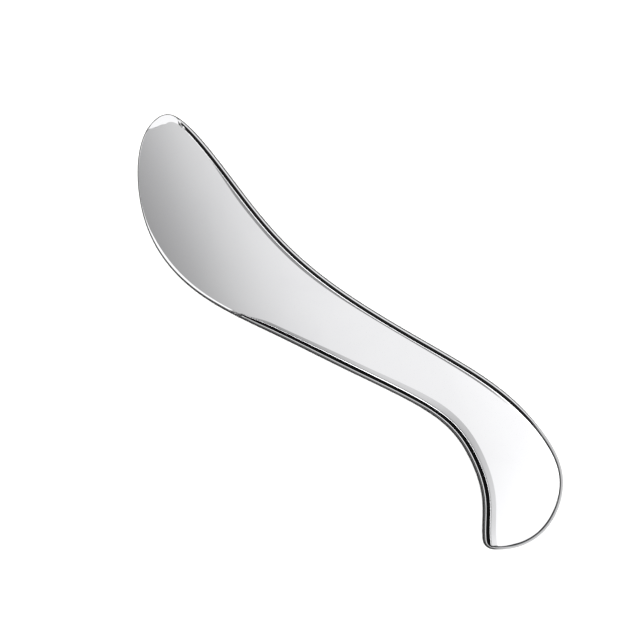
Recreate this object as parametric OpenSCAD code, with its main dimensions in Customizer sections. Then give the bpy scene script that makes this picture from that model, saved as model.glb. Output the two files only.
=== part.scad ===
// Gua sha scraper for muscle massage: one bar of stainless steel, cut to a broad blade,
// a waisted handle and a hook, ground along its rim and mirror polished all over.
//
// It lies on its rear face with the nose towards -X, the hook towards +X and the front
// face up. The origin is under the middle of its outline, on the rear face.
//
// The rim is followed once round, from the hook's corner along the belly to the nose and
// along the back to the corner again. A place on it is given by its station: 0 is the
// nose, -1 to -10 are the belly side of the stations below, 1 to 10 their back side, and
// -11 and 11 are both the hook's corner.

/* [Outline] */
// Length over all, from the nose to the outside of the hook
tool_length = 205; // [160:1:260]
// Width across the blade
blade_width = 38; // [31:0.5:46]
// Width across the handle
handle_width = 21; // [17:0.5:26]
// Width across the root of the hook
hook_width = 26; // [21:0.5:32]
// Rise of the middle line from the blade to the root of the hook
sway = 30; // [20:1:38]
// How far the rounding of the hook's corner reaches along each side
corner_round = 4.2; // [2:0.1:6]

/* [Steel] */
// Thickness of the bar
thickness = 5; // [4:0.1:8]

/* [Grip edges] */
// Depth of the full rounding along the belly side of the handle, in from the rim
grip_round = 2.9; // [2:0.1:3.5]
// Share of that rounding along the back side of the handle
back_share = 0.75; // [0.5:0.05:1]
// Widest part of the facet beside the rounding, on the belly side
belly_facet = 2.4; // [0.5:0.1:3]
// Widest part of the facet beside the rounding, on the back side
back_facet = 1.1; // [0.3:0.1:2.5]
// Slope of the belly side's facet in degrees
belly_slope = 2.5; // [1.5:0.5:6]
// Slope of the back side's facet in degrees
back_slope = 5; // [2:0.5:8]
// Width of the rear facet along the handle
rear_facet = 1.8; // [0.5:0.1:3]

/* [Working edges] */
// Depth of the fine rounding along the blade, in from the rim
edge_round = 0.9; // [0.5:0.05:1.2]
// How full the rounding along the hook's outside is, from 0 on a fine edge to 1 on a grip edge
hook_share = 0.45; // [0:0.05:0.6]
// Width of the front facet along the blade's belly
blade_facet = 0.95; // [0.3:0.05:2.5]
// Widest part of the crescent facet on the nose
nose_facet = 3.4; // [0.5:0.1:3.5]
// Width of the fine facet where the front face runs out to the rim
fine_facet = 0.12; // [0.05:0.01:0.3]
// Slope of the facets on the working edges in degrees
edge_slope = 30; // [10:1:40]
// Width of the bevel on the rear, behind the blade's belly
blade_bevel = 7.5; // [3:0.5:10]
// Width of the bevel on the rear, behind the nose
nose_bevel = 4.5; // [2:0.5:5]
// Width of the bevel on the rear, behind the outside of the hook
hook_bevel = 5.5; // [2:0.5:7]

/* [Hidden] */

// Points on the rim between one station and the next
steps = 12;

// Stations of the outline's control net, from nose to hook: [place along the tool as a
// share of its length, height of the middle line as a share of the sway, lean of the
// station in degrees, width across it]
stations = [
    [-0.485, 0.02, 3, 0.58 * blade_width],
    [-0.371, -0.3, 3, 1.04 * blade_width],
    [-0.224, -0.4, -1, 0.975 * blade_width],
    [-0.08, -0.15, 2, 1.26 * handle_width],
    [0.073, 0.18, -11, 1.26 * handle_width],
    [0.239, 0.6, -14, 1.145 * handle_width],
    [0.337, 0.57, -26, 1.095 * hook_width],
    [0.4155, 0.405, -34, 1.235 * hook_width],
    [0.457, 0.006, -55, hook_width],
    [0.46, -0.327, -70, 0.542 * hook_width],
];
nose = [-0.507, 0.13];
corner = [0.451, -0.525];

// Station where the nose's crescent facet ends against the back's grip edge, in a mitre
nose_end = 1 + 2 / steps;
// How many stations nearer the nose the mitre's outer end is, and over how many stations
// the sections beside it lean with it
nose_lean = 0.27;
lean_reach = 0.7;
// How close the grip edge's first section is set to the mitre, as a share of one step
mitre_pull = 0.7;

// Front of the rim: [station, how far in the rounding reaches, from 0 on a fine edge to 1
// on a full grip edge, facet width, facet slope]. The values run smoothly from each row to
// the next.
front_rim = [
    [-11, 1, 0.85 * belly_facet, 0.65 * belly_slope],
    [-9, 1, 0.8 * belly_facet, 0.85 * belly_slope],
    [-6.2, 1, belly_facet, 1.15 * belly_slope],
    [-5, 1, 0.6 * belly_facet, 0.7 * belly_slope],
    [-3.9, 0.8, 0.4 * belly_facet, 0.65 * belly_slope],
    [-3.58, 0.4, fine_facet, 0.65 * belly_slope],
    [-3.5, 0.3, 0.5 * blade_facet, edge_slope],
    [-2.4, 0.15, 0.85 * blade_facet, edge_slope],
    [-1.5, 0, fine_facet, edge_slope],
    [-0.34, 0, fine_facet, edge_slope],
    [-0.08, 0, 0.7 * nose_facet, edge_slope],
    [0.4, 0, nose_facet, edge_slope],
    [nose_end, 0, 0.45 * nose_facet, edge_slope],
    [nose_end + 1 / steps, back_share, fine_facet, back_slope],
    [1.8, back_share, fine_facet, back_slope],
    [2.6, back_share, back_facet, back_slope],
    [3.5, back_share, back_facet, back_slope],
    [4.8, back_share, 0.45 * back_facet, back_slope],
    [6.1, back_share, 0.8 * back_facet, back_slope],
    [7.2, hook_share, fine_facet, back_slope],
    [11, hook_share, fine_facet, back_slope],
];

// Rear of the rim: [station, how thick the rounding is, from 0 on a fine edge to 1 on a
// full grip edge, width of the facet or bevel]
rear_rim = [
    [-11, 1, rear_facet],
    [-4.3, 1, rear_facet],
    [-1.6, 0, blade_bevel],
    [-1.2, 0, blade_bevel],
    [-0.2, 0, nose_bevel],
    [0.4, 0, nose_bevel],
    [1.7, 1, rear_facet],
    [5.8, 1, rear_facet],
    [7.4, hook_share, hook_bevel],
    [11, hook_share, hook_bevel],
];

// Faces round the front and the rear part of the rim's rounding
front_turns = 5;
rear_turns = 4;
// Least height left between the rounding and the rear face
least_land = 0.05;
// Distance from the hook's corner over which its two edges run into each other
corner_reach = 14;

// A point of the control net, on the back side (1) or the belly side (-1) of a station
function middle(s) = [s.x * tool_length, s.y * sway];
function beside(s, side) = middle(s) + side * s[3] / 2 * [-sin(s[2]), cos(s[2])];

// Control net all round. Each end goes on past the corner in a straight line, so that the
// curve starts and ends in the corner itself.
sides = len(stations);
belly_net = [for (i = [sides - 1 : -1 : 0]) beside(stations[i], -1)];
back_net = [for (s = stations) beside(s, 1)];
tip = middle(corner);
drawn_net = concat(
    [2 * tip - belly_net[0], tip],
    belly_net,
    [middle(nose)],
    back_net,
    [tip, 2 * tip - back_net[sides - 1]]
);
count = steps * (len(drawn_net) - 3);

// Weights of four neighbouring net points in a cubic B-spline, and in its direction
function weights(t) = [
    pow(1 - t, 3),
    3 * pow(t, 3) - 6 * t * t + 4,
    -3 * pow(t, 3) + 3 * t * t + 3 * t + 1,
    pow(t, 3)
] / 6;
function direction_weights(t) = [
    -pow(1 - t, 2),
    3 * t * t - 4 * t,
    -3 * t * t + 2 * t + 1,
    t * t
] / 2;
function four(net, i) = [for (k = [0 : 3]) net[floor(i / steps) + k]];
function part_way(i) = i / steps - floor(i / steps);
function rim_point(net, i) = weights(part_way(i)) * four(net, i);
function rim_direction(net, i) =
    let (d = direction_weights(part_way(i)) * four(net, i)) d / norm(d);

// The drawn net is moved to the origin and stretched to the exact length
drawn = [for (i = [0 : count - 1]) rim_point(drawn_net, i)];
low = [for (axis = [0, 1]) min([for (p = drawn) p[axis]])];
high = [for (axis = [0, 1]) max([for (p = drawn) p[axis]])];
stretch = tool_length / (high.x - low.x);
net = [for (p = drawn_net) let (q = p - (low + high) / 2) [q.x * stretch, q.y]];

rim = [for (i = [0 : count - 1]) rim_point(net, i)];
along = [for (i = [0 : count - 1]) rim_direction(net, i)];
function station(i) = i / steps - sides - 1;

// Value in a column of a rim table at a station
function ease(t) = t * t * (3 - 2 * t);
function between(a, b, at, column) =
    a[column] + (b[column] - a[column]) * ease((at - a[0]) / (b[0] - a[0]));
function row_before(table, at) = max([for (r = [0 : len(table) - 2]) table[r][0] <= at ? r : 0]);
function value(table, at, column) =
    let (r = row_before(table, at)) between(table[r], table[r + 1], at, column);

// Section through the rim at a station, from the border of the front face round to the
// border of the rear face: [distance in from the rim, height] at each point. The rounding
// is part of an ellipse, which runs into the facets without a crease.
function section(at) =
    let (
        depth = edge_round + (grip_round - edge_round) * value(front_rim, at, 1),
        facet = value(front_rim, at, 2),
        slope = value(front_rim, at, 3),
        drop = facet * tan(slope),
        bevel = value(rear_rim, at, 2),
        full = thickness / 2 - drop - least_land,
        half = edge_round + (full - edge_round) * value(rear_rim, at, 1),
        front_angle = atan(half / depth / tan(slope)),
        mid = thickness - drop - half * sin(front_angle),
        rear_angle = atan(bevel * half / depth / (mid - half)),
        angles = concat(
            [for (k = [0 : front_turns]) front_angle * (1 - k / front_turns)],
            [for (k = [1 : rear_turns]) -rear_angle * k / rear_turns]
        ),
        round = [for (a = angles) [depth * (1 - cos(a)), mid + half * sin(a)]]
    )
    concat(
        [[round[0].x + facet, thickness]],
        round,
        [[round[len(round) - 1].x + bevel, 0]]
    );
sections = [for (i = [0 : count - 1]) section(station(i))];
rings = len(sections[0]);

// The hook's corner: its place, the directions away from it along the belly and along the
// back, the angle between them, and the sections that meet in it
corner_at = rim[0];
belly_way = along[0];
back_way = -rim_direction(net, count - 1);
corner_angle = acos(belly_way * back_way);
belly_end = sections[0];
back_end = section(sides + 1);

// Place along the rim, counted in points, of line k of the section at point i. The lines
// lean towards the nose round the mitre, the outer ones most.
mitre = round((nose_end + sides + 1) * steps);
function leaning(i, k) =
    let (
        off = abs(i - mitre) / steps / lean_reach,
        lean = off < 1 ? nose_lean * (1 - ease(off)) : 0,
        outer = max(0, 1 - sections[i][k].x / sections[i][0].x)
    )
    i - steps * lean * outer - (i == mitre + 1 ? mitre_pull : 0);

// A point of the bar's surface. Near the corner each line of the belly side is carried on
// to where it meets the same line of the back side, and the outer lines are rounded off.
function surface_point(i, k) =
    let (
        on_belly = i < count / 2,
        own = on_belly ? belly_end[k].x : back_end[k].x,
        other = on_belly ? back_end[k].x : belly_end[k].x,
        away = on_belly ? along[i] : -along[i],
        place = leaning(i, k),
        onward = rim_direction(net, place),
        inward = [onward.y, -onward.x],
        gap = norm(rim[i] - corner_at),
        near = gap < corner_reach ? 1 - ease(gap / corner_reach) : 0,
        carry = near * (other + own * cos(corner_angle)) / sin(corner_angle),
        reach = corner_round * max(0, 1 - belly_end[k].x / grip_round),
        u = gap < reach ? (1 - gap / reach) / 2 : 0,
        plan = rim_point(net, place) + inward * sections[i][k].x + away * carry
            + reach * u * u * (belly_way + back_way),
        height = sections[i][k].y,
        turned = on_belly ? height : height + near * (belly_end[k].y - height)
    )
    [plan.x, plan.y, turned];

// Faces of a flat side. Each spans from a piece of the belly side to its opposite number on
// the back side, like the rungs of a ladder, from the nose to the hook's corner.
half_count = count / 2;
rungs = [
    for (j = [0 : half_count - 1])
        [half_count - j - 1, half_count - j, half_count + j, (half_count + j + 1) % count]
];
flat_side = [
    for (r = rungs)
        for (face = [[r[0], r[1], r[2]], [r[0], r[2], r[3]]])
            if (face[1] != face[2] && face[2] != face[0]) face
];

module scraper_body() {
    last_ring = (rings - 1) * count;
    points = [for (k = [0 : rings - 1]) for (i = [0 : count - 1]) surface_point(i, k)];
    rear_side = [for (f = flat_side) [f[0], f[2], f[1]] + last_ring * [1, 1, 1]];
    bands = [
        for (k = [0 : rings - 2])
            for (i = [0 : count - 1])
                let (a = k * count + i, b = k * count + (i + 1) % count)
                    for (face = [[a, a + count, b + count], [a, b + count, b]]) face
    ];
    color("silver")
        polyhedron(points = points, faces = concat(flat_side, rear_side, bands), convexity = 6);
}

scraper_body();
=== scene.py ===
import bpy
import bmesh
import math
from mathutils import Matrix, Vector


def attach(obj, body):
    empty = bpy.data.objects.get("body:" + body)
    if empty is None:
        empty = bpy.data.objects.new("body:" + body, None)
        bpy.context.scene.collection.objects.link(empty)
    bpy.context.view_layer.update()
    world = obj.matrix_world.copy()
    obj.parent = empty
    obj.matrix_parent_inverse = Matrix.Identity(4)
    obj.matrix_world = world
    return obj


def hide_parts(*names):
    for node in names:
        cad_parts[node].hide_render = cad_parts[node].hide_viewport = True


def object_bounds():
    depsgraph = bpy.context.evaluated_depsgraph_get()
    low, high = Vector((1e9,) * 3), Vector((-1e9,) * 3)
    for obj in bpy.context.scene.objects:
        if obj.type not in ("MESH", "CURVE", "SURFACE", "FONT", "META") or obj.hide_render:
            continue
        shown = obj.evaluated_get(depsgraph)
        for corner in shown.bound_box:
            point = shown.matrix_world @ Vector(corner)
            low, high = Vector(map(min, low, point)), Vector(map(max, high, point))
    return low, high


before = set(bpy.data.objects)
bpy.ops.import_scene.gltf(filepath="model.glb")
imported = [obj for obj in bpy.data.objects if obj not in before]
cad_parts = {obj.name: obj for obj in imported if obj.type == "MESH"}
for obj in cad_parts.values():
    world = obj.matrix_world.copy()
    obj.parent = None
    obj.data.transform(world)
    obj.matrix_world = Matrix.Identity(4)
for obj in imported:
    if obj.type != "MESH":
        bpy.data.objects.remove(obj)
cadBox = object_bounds()
low, high = cadBox
middle = (low + high) / 2
print("frame loaded")


def linear(hexColour):
    # sRGB hex to the linear values that the shaders take
    def one(c):
        return c / 12.92 if c <= 0.04045 else ((c + 0.055) / 1.055) ** 2.4
    parts = [int(hexColour[i:i + 2], 16) / 255 for i in (1, 3, 5)]
    return (*[one(c) for c in parts], 1.0)


def addNode(tree, kind, settings=None, links=None):
    # settings: value by node property or input socket, links: output socket by input socket
    node = tree.nodes.new(kind)
    for key, value in (settings or {}).items():
        if isinstance(key, int) or key in node.inputs:
            node.inputs[key].default_value = value
        else:
            setattr(node, key, value)
    for key, source in (links or {}).items():
        tree.links.new(source, node.inputs[key])
    return node


def fillRamp(ramp, stops):
    # stops: (place, grey) from low to high
    elements = ramp.color_ramp.elements
    while len(elements) < len(stops):
        elements.new(0.5)
    for element, (place, grey) in zip(elements, stops):
        element.position = place
        element.color = (grey, grey, grey, 1)


# straight down on the polished face, rolled so that the hook points down to the right

camera = {
    "roll": 47,            # degrees about the line of sight
    "lens": 100,           # mm, on a 36 mm sensor
    "sensor": 36,
    "frameWidth": 0.2309,  # metres of the scene across the picture
    "asideX": -0.0087,     # middle of the picture from the middle of the tool, metres
    "asideY": -0.0026,
    "nearest": 0.01,       # metres from the lens, from which things show
    "farthest": 50,
}


def addCamera():
    data = bpy.data.cameras.new("camera")
    data.lens = camera["lens"]
    data.sensor_width = camera["sensor"]
    cam = bpy.data.objects.new("camera", data)
    bpy.context.scene.collection.objects.link(cam)
    distance = camera["frameWidth"] * camera["lens"] / camera["sensor"]
    cam.location = (middle.x + camera["asideX"], middle.y + camera["asideY"], high.z + distance)
    cam.rotation_euler = (0, 0, math.radians(camera["roll"]))
    data.clip_start = camera["nearest"]
    data.clip_end = camera["farthest"]
    bpy.context.scene.camera = cam
    print("camera placed", round(distance, 3), "m above the face")


addCamera()


scraper = {
    "merge": 1e-6,     # metres within which points are one
    "level": 0.99999,  # least upward part of the normal on a flat face
    "corner": 35,      # degrees between faces, from which their edge is crisp
    "hold": 4,         # percent of the faces beside a facet's border that stay with it
    "levels": 2,       # subdivision levels
}

steel = {
    "tone": "#d0d0d1",
    "greyerTone": "#cacacc",
    "roughness": 0.035,       # on clean mirror polish
    "smudgedRoughness": 0.075,
    "rimRoughness": 0.02,     # added where the rim was polished by hand
    "rimFrom": 0.97,          # upward part of the normal at which the rim starts
    "rimFull": 0.8,           # and at which it has all of that
    "smudge": 26,             # mm across one smudge
    "smudgeFrom": 0.5,        # share of the smudge pattern at which the dulling starts
    "smudgeFull": 0.72,
    "buffTurn": 43,           # degrees from the tool's axis to the way it was buffed
    "buffStretch": 0.06,      # breadth of a wave or mark as a share of its length
    "buffWidth": 5,           # mm between the broad waves that buffing leaves
    "buffDepth": 0.0007,      # mm
    "mark": 0.9,              # mm between fine marks, coarser than real ones so as to show
    "markDepth": 0.00003,     # mm
}


def polishedSteel():
    # austenitic stainless steel, ground flat and then buffed to a mirror on a felt wheel: a hard
    # reflection, which broad faint waves stretch a little along the way that it was buffed
    mat = bpy.data.materials.new("mirrorPolishedStainlessSteel")
    mat.use_nodes = True
    tree = mat.node_tree
    shader = tree.nodes["Principled BSDF"]
    shader.inputs["Metallic"].default_value = 1.0
    place = addNode(tree, "ShaderNodeTexCoord").outputs["Object"]
    buffed = addNode(tree, "ShaderNodeMapping", {
        "Rotation": (0, 0, math.radians(steel["buffTurn"])),
        "Scale": (1, steel["buffStretch"], 1)}, {"Vector": place}).outputs[0]

    # broad waves and fine marks along the way it was buffed
    waves = addNode(tree, "ShaderNodeTexNoise", {
        "Scale": 1000 / steel["buffWidth"], "Detail": 1.5, "Roughness": 0.4}, {"Vector": buffed})
    marks = addNode(tree, "ShaderNodeTexNoise", {
        "Scale": 1000 / steel["mark"], "Detail": 1.0, "Roughness": 0.5}, {"Vector": buffed})
    waveBump = addNode(tree, "ShaderNodeBump", {
        "Strength": 1.0, "Distance": steel["buffDepth"] / 1000}, {"Height": waves.outputs["Fac"]})
    markBump = addNode(tree, "ShaderNodeBump", {
        "Strength": 1.0, "Distance": steel["markDepth"] / 1000},
        {"Height": marks.outputs["Fac"], "Normal": waveBump.outputs[0]})
    tree.links.new(markBump.outputs[0], shader.inputs["Normal"])

    # faint smudges from handling dull the polish, and so does the hand work round the rim
    smudges = addNode(tree, "ShaderNodeTexNoise", {
        "Scale": 1000 / steel["smudge"], "Detail": 5.0, "Roughness": 0.62,
        "Distortion": 0.6}, {"Vector": place})
    dulled = addNode(tree, "ShaderNodeMapRange", {
        "From Min": steel["smudgeFrom"], "From Max": steel["smudgeFull"],
        "To Min": steel["roughness"], "To Max": steel["smudgedRoughness"]},
        {"Value": smudges.outputs["Fac"]})
    normal = addNode(tree, "ShaderNodeNewGeometry").outputs["Normal"]
    upward = addNode(tree, "ShaderNodeSeparateXYZ", links={0: normal}).outputs["Z"]
    flatness = addNode(tree, "ShaderNodeMath", {"operation": "ABSOLUTE"}, {0: upward})
    rim = addNode(tree, "ShaderNodeMapRange", {
        "From Min": steel["rimFrom"], "From Max": steel["rimFull"],
        "To Min": 0.0, "To Max": steel["rimRoughness"]}, {"Value": flatness.outputs[0]})
    roughness = addNode(tree, "ShaderNodeMath", {"operation": "ADD"},
                        {0: dulled.outputs[0], 1: rim.outputs[0]})
    tree.links.new(roughness.outputs[0], shader.inputs["Roughness"])
    tone = addNode(tree, "ShaderNodeMixRGB", {
        "Color1": linear(steel["tone"]), "Color2": linear(steel["greyerTone"])},
        {"Fac": smudges.outputs["Fac"]})
    tree.links.new(tone.outputs[0], shader.inputs["Base Color"])
    return mat


def ringNumbers(bm):
    # how many steps each point lies from the front face's border, round the rim to the rear
    ring = {v: 0 for f in bm.faces if f.normal.z > scraper["level"] for v in f.verts}
    edge = list(ring)
    while edge:
        beyond = []
        for v in edge:
            for e in v.link_edges:
                other = e.other_vert(v)
                if other not in ring:
                    ring[other] = ring[v] + 1
                    beyond.append(other)
        edge = beyond
    return ring


def diagonalOf(face, ring):
    # the edge that splits a four-sided patch: on the rim it leads from a single point to the
    # later one of the next ring, on the flat sides it is the edge after or before the border
    loops = list(face.loops)
    numbers = [ring[l.vert] for l in loops]
    lowest = min(numbers)
    if max(numbers) > lowest:
        if numbers.count(lowest) > 1:
            return None
        start = numbers.index(lowest)
        return loops[start].link_loop_prev.edge
    onBorder = [l for l in loops
                if abs(l.link_loop_radial_next.face.normal.z) < scraper["level"]]
    if len(onBorder) != 1:
        return None
    own = onBorder[0]
    return own.link_loop_prev.edge if face.normal.z > 0 else own.link_loop_next.edge


def pickEdges(piece, wanted):
    # leaves just the wanted edges selected; wanted(edge, ring numbers) says which
    bpy.ops.mesh.select_all(action="DESELECT")
    bm = bmesh.from_edit_mesh(piece.data)
    bm.normal_update()
    ring = ringNumbers(bm)
    for e in bm.edges:
        e.select = wanted(e, ring)
    bmesh.update_edit_mesh(piece.data)


def addScraper():
    bpy.ops.object.select_all(action="DESELECT")
    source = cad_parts["scraper_body"]
    piece = source.copy()
    piece.data = source.data.copy()
    piece.name = "polished_scraper"
    for key in list(piece.keys()):
        del piece[key]
    piece.parent = None
    bpy.context.scene.collection.objects.link(piece)
    piece.select_set(True)
    bpy.context.view_layer.objects.active = piece
    bpy.ops.object.mode_set(mode="EDIT")
    bpy.ops.mesh.select_mode(type="EDGE")
    bpy.ops.mesh.select_all(action="SELECT")
    bpy.ops.mesh.remove_doubles(threshold=scraper["merge"])

    # loose triangles back to patches that follow the rim
    pickEdges(piece, lambda e, ring: any(diagonalOf(f, ring) == e for f in e.link_faces))
    bpy.ops.mesh.dissolve_edges(use_verts=False, use_face_split=False)
    bm = bmesh.from_edit_mesh(piece.data)
    triangles = sum(len(f.verts) == 3 for f in bm.faces)
    print("patches:", len(bm.faces), "of which triangles:", triangles)

    # a line close to each facet's outer border holds the facet flat
    pickEdges(piece, lambda e, ring: ring[e.verts[0]] == ring[e.verts[1]]
              and ring[e.verts[0]] in (1, max(ring.values()) - 1))
    bpy.ops.mesh.bevel(
        offset_type="PERCENT", offset_pct=scraper["hold"], segments=1, affect="EDGES")

    # crisp border round both flat faces
    pickEdges(piece, lambda e, ring: ring[e.verts[0]] == ring[e.verts[1]]
              and ring[e.verts[0]] in (0, max(ring.values()))
              and min(abs(f.normal.z) for f in e.link_faces) < scraper["level"])
    bpy.ops.mesh.mark_sharp()
    bpy.ops.transform.edge_crease(value=1)
    # and along the other edges that are ground to a corner
    bpy.ops.mesh.select_all(action="DESELECT")
    bpy.ops.mesh.edges_select_sharp(sharpness=math.radians(scraper["corner"]))
    bpy.ops.mesh.mark_sharp()
    bpy.ops.transform.edge_crease(value=1)
    bpy.ops.object.mode_set(mode="OBJECT")
    bpy.ops.object.shade_smooth()

    subdivide = piece.modifiers.new("subdivide", "SUBSURF")
    subdivide.levels = scraper["levels"]
    subdivide.render_levels = scraper["levels"]
    bpy.ops.object.modifier_apply(modifier=subdivide.name)
    piece.data.materials.clear()
    piece.data.materials.append(polishedSteel())
    print("scraper:", len(piece.data.vertices), "points,", len(piece.data.polygons), "faces")
    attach(piece, "root")
    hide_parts("scraper_body")
    return piece


addScraper()


studio = {
    "floorSize": 6.0,        # metres
    "floorColour": "#f7f7f6",
    "floorRoughness": 0.9,
    "floorShine": 0.2,
    "overheadPower": 2.9,    # watts per square metre on the floor
    "overheadSpread": 20,    # degrees, how soft the overhead light is
    "acrossTurn": 70,        # degrees from +X to the way in which the overhead panel brightens
    "rampTop": 6,            # brightness below that a ramp's white stands for
    "brightest": 7.4,        # strength of the light where a ramp is white
    "hookGain": 0.2,         # how much brighter the panel is over the hook
    "backdrop": "#fbfbfa",
    # where the panel fades out: along it, then above the horizon, and where it brightens to
    # the hook; each from its first value to its second
    "panelEnds": (0.42, 0.3),
    "panelEdge": (0.75, 0.85),
    "overHook": (0.1, 0.16),
    # brightness of the overhead panel by degrees from the zenith, along the way it brightens,
    # between a strip light on each side
    "panelReach": 30,        # degrees to each side
    "panel": [(-13.4, 0), (-12.8, 4.5), (-11.4, 4.5), (-10.8, 0.38), (-6, 0.38), (-5, 0.4),
              (-4, 0.5), (-3, 0.7), (-2, 0.98), (-1, 1.19), (0, 1.32), (1, 1.38), (3, 1.44),
              (4, 1.56), (5, 1.65), (7, 1.65), (8.5, 0.42), (13, 0.42), (14.5, 4), (20, 4),
              (22, 0)],
    # where one wall passes into the next, as shares of a level direction that point along +Y
    # for the first two and along +X for the others
    "intoBack": (0.3, 0.7),
    "intoFront": (-0.5, -0.7),
    "backFromNose": (-0.36, -0.32),
    "backToHook": (0.26, 0.14),
    "frontToHandle": (0.32, 0.42),
    "noseToHook": (-0.2, 0.2),
    # brightness of the light tent by degrees from the zenith: behind the tool's back, in front
    # of the blade and the hook's inside, in front of the handle, past the nose, past the hook
    "backWall": [(69, 0.02), (75, 0.4), (81, 1.3), (86, 1.4), (104, 1.4), (110, 0.25),
                 (180, 0.25)],
    "frontWall": [(57, 0.01), (59, 1.75), (67, 1.75), (69, 0.07), (84, 0.12), (87, 0.35),
                  (92, 0.3), (97, 0.06), (180, 0.06)],
    "handleWall": [(62, 0.01), (66, 1.6), (74, 1.3), (78, 0.22), (84, 0.22), (88, 0.4), (94, 0.4),
                   (99, 0.1), (180, 0.1)],
    "noseWall": [(30, 0.02), (34, 1.6), (84, 1.6), (86, 0.05), (180, 0.05)],
    "hookWall": [(36, 0.02), (46, 0.15), (58, 0.5), (76, 1), (110, 0.95), (180, 0.8)],
}


def addFloor():
    bpy.ops.object.select_all(action="DESELECT")
    bpy.ops.mesh.primitive_plane_add(size=studio["floorSize"], location=(0, 0, low.z))
    floor = bpy.context.object
    floor.name = "floor"
    mat = bpy.data.materials.new("matteTable")
    mat.use_nodes = True
    shader = mat.node_tree.nodes["Principled BSDF"]
    shader.inputs["Base Color"].default_value = linear(studio["floorColour"])
    shader.inputs["Roughness"].default_value = studio["floorRoughness"]
    shader.inputs["Specular IOR Level"].default_value = studio["floorShine"]
    floor.data.materials.append(mat)
    # the steel mirrors the tent's lower part instead of the table
    floor.visible_glossy = False


def addOverhead():
    # lights the floor; the steel sees the world's panel in its place
    data = bpy.data.lights.new("overhead", "SUN")
    data.energy = studio["overheadPower"]
    data.angle = math.radians(studio["overheadSpread"])
    light = bpy.data.objects.new("overhead", data)
    light.location = (0, 0, 1)
    light.visible_glossy = False
    bpy.context.scene.collection.objects.link(light)


def greyRamp(tree, stops, source, first, last):
    # brightness over degrees, with the source running from 0 at first to 1 at last
    node = addNode(tree, "ShaderNodeValToRGB", links={"Fac": source})
    fillRamp(node, [((degrees - first) / (last - first), value / studio["rampTop"])
                    for degrees, value in stops])
    return node.outputs["Color"]


def addWorld():
    # the tent that the steel mirrors, and a plain backdrop for the camera
    world = bpy.data.worlds.new("lightTent")
    bpy.context.scene.world = world
    world.use_nodes = True
    tree = world.node_tree
    tree.nodes.clear()
    way = addNode(tree, "ShaderNodeTexCoord").outputs["Generated"]
    split = addNode(tree, "ShaderNodeSeparateXYZ", links={0: way})
    turn = math.radians(studio["acrossTurn"])
    reach = studio["panelReach"]

    def calculate(operation, *values):
        node = addNode(tree, "ShaderNodeMath", {"operation": operation})
        for index, value in enumerate(values):
            if isinstance(value, (int, float)):
                node.inputs[index].default_value = value
            else:
                tree.links.new(value, node.inputs[index])
        return node.outputs[0]

    def component(x, y):
        # how much of the direction points along x, y
        node = addNode(tree, "ShaderNodeVectorMath",
                       {"operation": "DOT_PRODUCT", 1: (x, y, 0)}, {0: way})
        return node.outputs["Value"]

    def smooth(value, limits):
        # 0 at the first limit, 1 at the second
        node = addNode(tree, "ShaderNodeMapRange", {
            "interpolation_type": "SMOOTHSTEP", "From Min": limits[0], "From Max": limits[1]},
            {"Value": value})
        return node.outputs["Result"]

    def blend(share, first, second):
        return addNode(tree, "ShaderNodeMixRGB", links={0: share, 1: first, 2: second}).outputs[0]

    # overhead panel
    across = calculate("ARCSINE", component(math.cos(turn), math.sin(turn)))
    across = calculate("MULTIPLY_ADD", across, 180 / math.pi / (2 * reach), 0.5)
    panel = greyRamp(tree, studio["panel"], across, -reach, reach)
    along = component(math.sin(turn), -math.cos(turn))
    ending = smooth(calculate("ABSOLUTE", along), studio["panelEnds"])
    panel = calculate("MULTIPLY", panel, ending)
    gain = calculate("MULTIPLY_ADD", smooth(along, studio["overHook"]), studio["hookGain"], 1)
    panel = calculate("MULTIPLY", panel, gain)
    panel = calculate("MULTIPLY", panel, smooth(split.outputs["Z"], studio["panelEdge"]))

    # walls of the tent
    zenith = calculate("DIVIDE", calculate("ARCCOSINE", split.outputs["Z"]), math.pi)
    level = calculate("POWER", split.outputs["Z"], 2)
    level = calculate("SQRT", calculate("SUBTRACT", 1.0001, level))  # above 1, so never 0
    side = calculate("DIVIDE", split.outputs["Y"], level)
    end = calculate("DIVIDE", split.outputs["X"], level)
    back, front, handle, nose, hook = [
        greyRamp(tree, studio[wall + "Wall"], zenith, 0, 180)
        for wall in ("back", "front", "handle", "nose", "hook")]
    behind = calculate("MULTIPLY", smooth(side, studio["intoBack"]),
                       smooth(end, studio["backFromNose"]))
    behind = calculate("MULTIPLY", behind, smooth(end, studio["backToHook"]))
    ahead = blend(smooth(end, studio["frontToHandle"]), front, handle)
    ends = blend(smooth(end, studio["noseToHook"]), nose, hook)
    walls = blend(smooth(side, studio["intoFront"]), blend(behind, ends, back), ahead)
    light = calculate("MULTIPLY", calculate("ADD", panel, walls), studio["brightest"])

    tent = addNode(tree, "ShaderNodeBackground", links={"Strength": light})
    plain = addNode(tree, "ShaderNodeBackground", {"Color": linear(studio["backdrop"])})
    rays = addNode(tree, "ShaderNodeLightPath")
    both = addNode(tree, "ShaderNodeMixShader", links={
        0: rays.outputs["Is Camera Ray"], 1: tent.outputs[0], 2: plain.outputs[0]})
    addNode(tree, "ShaderNodeOutputWorld", links={0: both.outputs[0]})


addFloor()
addOverhead()
addWorld()
bpy.context.scene.view_settings.view_transform = "Standard"
print("studio ready")
